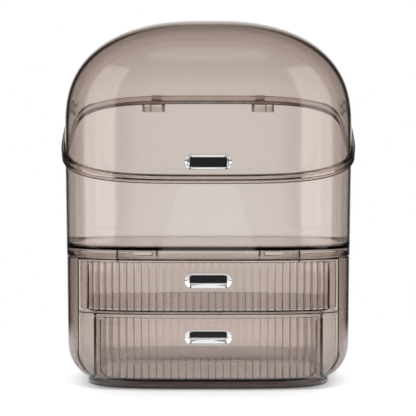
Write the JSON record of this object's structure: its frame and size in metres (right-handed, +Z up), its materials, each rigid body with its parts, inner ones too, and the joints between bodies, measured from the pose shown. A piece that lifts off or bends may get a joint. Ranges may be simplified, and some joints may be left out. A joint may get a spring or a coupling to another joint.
{
  "type": "dustproof makeup organizer",
  "caption": "Smoky clear vanity box with a domed hinged lid over an open tub, and two reeded drawers below, each with a recessed chrome pull.",
  "frame": {"origin": "middle of the foot plinth's flat underside, on which the box rests", "axes": "+Z is up, the drawers open towards -Y, and +X is to the right as seen from the front"},
  "size_m": [0.293, 0.2195, 0.3569],
  "materials": {
    "smoky_shell": "clear smoky gloss",
    "smoky_tray": "clear smoky gloss",
    "smoky_frame": "clear smoky gloss",
    "pull_chrome": "polished",
    "pin_steel": "drawn"
  },
  "bodies": {
    "housing": {"base_shell": "smoky_shell", "foot_plinth": "smoky_frame", "side_guide_left": "smoky_frame", "side_guide_right": "smoky_frame", "divider_shelf": "smoky_frame", "compartment_tub": "smoky_shell", "hinge_bracket_left": "smoky_frame", "hinge_bracket_right": "smoky_frame", "hinge_pin_left": "pin_steel", "hinge_pin_right": "pin_steel"},
    "lid": {"lid_dome": "smoky_shell", "hinge_knuckle_left": "smoky_shell", "hinge_knuckle_right": "smoky_shell", "lid_pull": "pull_chrome"},
    "upper_drawer": {"upper_drawer_tray": "smoky_tray", "upper_drawer_front": "smoky_tray", "upper_drawer_pull": "pull_chrome"},
    "lower_drawer": {"lower_drawer_tray": "smoky_tray", "lower_drawer_front": "smoky_tray", "lower_drawer_pull": "pull_chrome"}
  },
  "joints": [
    {"name": "lid_hinge", "type": "hinge", "parent": "housing", "child": "lid", "pos_m": [0, 0.11, 0.2795], "axis": [-1, 0, 0], "range_deg": [0, 100]},
    {"name": "upper_drawer_slide", "type": "slide", "parent": "housing", "child": "upper_drawer", "axis": [0, -1, 0], "range_m": [0, 0.14]},
    {"name": "lower_drawer_slide", "type": "slide", "parent": "housing", "child": "lower_drawer", "axis": [0, -1, 0], "range_m": [0, 0.13]}
  ]
}
